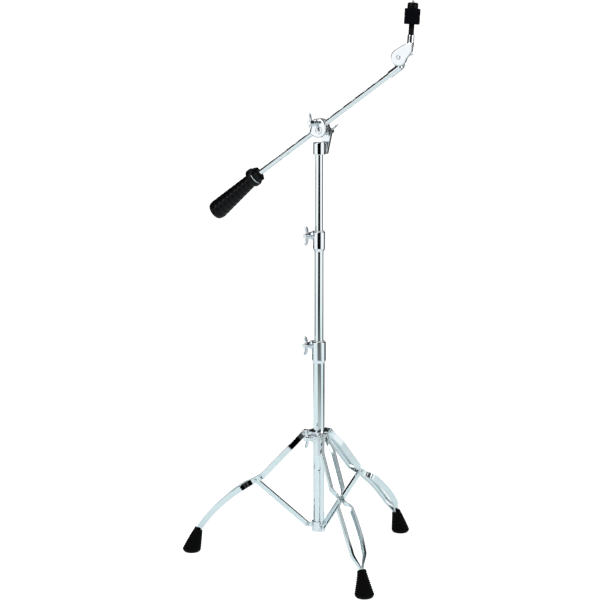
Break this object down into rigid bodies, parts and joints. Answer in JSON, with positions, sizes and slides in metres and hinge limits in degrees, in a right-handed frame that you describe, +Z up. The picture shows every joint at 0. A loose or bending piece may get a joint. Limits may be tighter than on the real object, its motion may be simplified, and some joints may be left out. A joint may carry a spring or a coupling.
{
  "type": "cymbal boom stand",
  "caption": "Folding double-braced tripod with telescoping chrome tubes, a tilting boom arm with a counterweight, and a felted cymbal tilter with a nut.",
  "frame": {"origin": "on the floor, on the axis of the column, with the tripod open", "axes": "+Z up along the column; +X to the right and +Y away as the stand is seen from the front; the boom rises to the right and towards the front"},
  "size_m": [0.5935, 0.6111, 1.3996],
  "materials": {
    "tube_chrome": "bright plated tube, fine polishing marks",
    "pressed_chrome": "bright plated pressed sheet",
    "cast_chrome": "plated casting, slightly soft highlights",
    "zinc_steel": "zinc plated fastener",
    "foot_rubber": "matt moulded rubber with ribs",
    "black_plastic": "fine moulded grain",
    "nylon": "translucent white nylon",
    "felt": "dense black felt",
    "core_iron": "as cast, hidden"
  },
  "bodies": {
    "base": {"base_tube": "tube_chrome", "base_plug": "foot_rubber", "stay_collar": "pressed_chrome", "stay_pins": "zinc_steel", "lower_clamp": "cast_chrome", "lower_clamp_nut": "zinc_steel"},
    "leg_slider": {"leg_collar": "cast_chrome", "leg_pins": "zinc_steel"},
    "leg_lock": {"leg_lock_wing": "cast_chrome"},
    "leg_a": {"leg_strip_near_a": "pressed_chrome", "leg_strip_far_a": "pressed_chrome", "knee_rivets_a": "zinc_steel", "foot_a": "foot_rubber"},
    "leg_b": {"leg_strip_near_b": "pressed_chrome", "leg_strip_far_b": "pressed_chrome", "knee_rivets_b": "zinc_steel", "foot_b": "foot_rubber"},
    "leg_c": {"leg_strip_near_c": "pressed_chrome", "leg_strip_far_c": "pressed_chrome", "knee_rivets_c": "zinc_steel", "foot_c": "foot_rubber"},
    "stay_a": {"stay_a": "pressed_chrome"},
    "stay_b": {"stay_b": "pressed_chrome"},
    "stay_c": {"stay_c": "pressed_chrome"},
    "lower_wing": {"lower_clamp_wing": "cast_chrome"},
    "lower_turn": {"lower_clamp_bushing": "nylon"},
    "mid_column": {"mid_tube": "tube_chrome", "mid_tube_guide": "nylon", "upper_clamp": "cast_chrome", "upper_clamp_nut": "zinc_steel"},
    "upper_wing": {"upper_clamp_wing": "cast_chrome"},
    "upper_turn": {"upper_clamp_bushing": "nylon"},
    "top_column": {"top_tube": "tube_chrome", "top_tube_guide": "nylon", "boom_bracket": "cast_chrome", "tilt_washer": "black_plastic"},
    "tilt_lock": {"tilt_wing": "cast_chrome"},
    "boom_clamp": {"drum_rear": "cast_chrome", "drum_front": "cast_chrome", "tilt_bolt": "zinc_steel", "boom_clamp_nut": "zinc_steel"},
    "boom_lock": {"boom_wing": "cast_chrome"},
    "boom_turn": {"boom_liner": "nylon"},
    "boom": {"boom_rod": "tube_chrome", "tilter_base": "cast_chrome", "tilter_bolt": "cast_chrome"},
    "weight": {"weight_shell": "black_plastic", "weight_core": "core_iron", "weight_ring": "tube_chrome"},
    "weight_ring_lock": {"weight_lock": "black_plastic"},
    "tilter": {"tilter_arm": "cast_chrome", "cymbal_seat": "black_plastic", "lower_felt": "felt", "cymbal_stud": "zinc_steel"},
    "tilter_lock": {"tilter_wing": "cast_chrome"},
    "felt": {"upper_felt": "felt"},
    "nut": {"cymbal_nut": "black_plastic"}
  },
  "joints": [
    {"name": "leg_slide", "type": "slide", "parent": "base", "child": "leg_slider", "axis": [0, 0, 1], "range_m": [-0.01, 0.114]},
    {"name": "leg_lock_turn", "type": "hinge", "parent": "leg_slider", "child": "leg_lock", "pos_m": [-0.02071, -0.02333, 0.32023], "axis": [-0.6639, -0.7478, 0], "range_deg": [-45, 180]},
    {"name": "leg_a_fold", "type": "hinge", "parent": "leg_slider", "child": "leg_a", "pos_m": [-0.03526, 0.00724, 0.32673], "axis": [-0.2011, -0.9796, 0], "range_deg": [-3.6, 39.8]},
    {"name": "leg_b_fold", "type": "hinge", "parent": "leg_slider", "child": "leg_b", "pos_m": [0.01136, -0.03416, 0.32673], "axis": [0.9489, 0.3156, 0], "range_deg": [-3.6, 39.8]},
    {"name": "leg_c_fold", "type": "hinge", "parent": "leg_slider", "child": "leg_c", "pos_m": [0.0239, 0.02692, 0.32673], "axis": [-0.7478, 0.6639, 0], "range_deg": [-3.6, 39.8]},
    {"name": "stay_a_fold", "type": "hinge", "parent": "base", "child": "stay_a", "pos_m": [-0.02841, 0.00583, 0.09], "axis": [-0.2011, -0.9796, 0], "range_deg": [-43.5, 4]},
    {"name": "stay_b_fold", "type": "hinge", "parent": "base", "child": "stay_b", "pos_m": [0.00915, -0.02752, 0.09], "axis": [0.9489, 0.3156, 0], "range_deg": [-43.5, 4]},
    {"name": "stay_c_fold", "type": "hinge", "parent": "base", "child": "stay_c", "pos_m": [0.01925, 0.02169, 0.09], "axis": [-0.7478, 0.6639, 0], "range_deg": [-43.5, 4]},
    {"name": "lower_clamp_turn", "type": "hinge", "parent": "base", "child": "lower_wing", "pos_m": [-0.02283, 0.01223, 0.5495], "axis": [-0.7071, -0.7071, 0], "range_deg": [-45, 180]},
    {"name": "mid_swivel", "type": "hinge", "parent": "base", "child": "lower_turn", "pos_m": [0, 0, 0.561], "axis": [0, 0, 1], "continuous": true},
    {"name": "mid_slide", "type": "slide", "parent": "lower_turn", "child": "mid_column", "axis": [0, 0, 1], "range_m": [-0.22, 0.14]},
    {"name": "upper_clamp_turn", "type": "hinge", "parent": "mid_column", "child": "upper_wing", "pos_m": [-0.02105, 0.01044, 0.8255], "axis": [-0.7071, -0.7071, 0], "range_deg": [-45, 180]},
    {"name": "top_swivel", "type": "hinge", "parent": "mid_column", "child": "upper_turn", "pos_m": [0, 0, 0.837], "axis": [0, 0, 1], "continuous": true},
    {"name": "top_slide", "type": "slide", "parent": "upper_turn", "child": "top_column", "axis": [0, 0, 1], "range_m": [-0.185, 0.12]},
    {"name": "tilt_lock_turn", "type": "hinge", "parent": "top_column", "child": "tilt_lock", "pos_m": [0.02261, 0.02671, 1.08133], "axis": [0.4695, 0.8829, 0], "range_deg": [-45, 180]},
    {"name": "boom_tilt", "type": "hinge", "parent": "top_column", "child": "boom_clamp", "pos_m": [0.00655, -0.00348, 1.08133], "axis": [-0.4695, -0.8829, 0], "range_deg": [-75, 20]},
    {"name": "boom_lock_turn", "type": "hinge", "parent": "boom_clamp", "child": "boom_lock", "pos_m": [-0.00781, 0.00415, 1.10473], "axis": [-0.4695, -0.8829, 0], "range_deg": [-45, 180]},
    {"name": "boom_swivel", "type": "hinge", "parent": "boom_clamp", "child": "boom_turn", "pos_m": [0, 0, 1.092], "axis": [0.725, -0.3855, 0.5707], "continuous": true},
    {"name": "boom_slide", "type": "slide", "parent": "boom_turn", "child": "boom", "axis": [0.725, -0.3855, 0.5707], "range_m": [-0.2, 0.115]},
    {"name": "weight_slide", "type": "slide", "parent": "boom", "child": "weight", "axis": [0.725, -0.3855, 0.5707], "range_m": [-0.045, 0.038]},
    {"name": "weight_lock_turn", "type": "hinge", "parent": "weight", "child": "weight_ring_lock", "pos_m": [-0.15769, 0.08385, 0.96787], "axis": [0.725, -0.3855, 0.5707], "range_deg": [-45, 180]},
    {"name": "tilter_tilt", "type": "hinge", "parent": "boom", "child": "tilter", "pos_m": [0.19053, -0.10131, 1.26512], "axis": [-0.4695, -0.8829, 0], "range_deg": [-40, 95]},
    {"name": "tilter_lock_turn", "type": "hinge", "parent": "boom", "child": "tilter_lock", "pos_m": [0.19429, -0.09424, 1.26512], "axis": [0.4695, 0.8829, 0], "range_deg": [-45, 180]},
    {"name": "felt_slide", "type": "slide", "parent": "tilter", "child": "felt", "axis": [0.0524, -0.0278, 0.9982], "range_m": [0, 0.009]},
    {"name": "nut_slide", "type": "slide", "parent": "tilter", "child": "nut", "axis": [0.0524, -0.0278, 0.9982], "range_m": [0, 0.018]}
  ],
  "couplings": [
    {"joint": "leg_a_fold", "follows": "leg_slide", "rad_per_m": 6.0734},
    {"joint": "stay_a_fold", "follows": "leg_slide", "rad_per_m": -6.6409},
    {"joint": "leg_b_fold", "follows": "leg_slide", "rad_per_m": 6.0734},
    {"joint": "stay_b_fold", "follows": "leg_slide", "rad_per_m": -6.6409},
    {"joint": "leg_c_fold", "follows": "leg_slide", "rad_per_m": 6.0734},
    {"joint": "stay_c_fold", "follows": "leg_slide", "rad_per_m": -6.6409},
    {"joint": "felt_slide", "follows": "nut_slide", "ratio": 0.5}
  ]
}
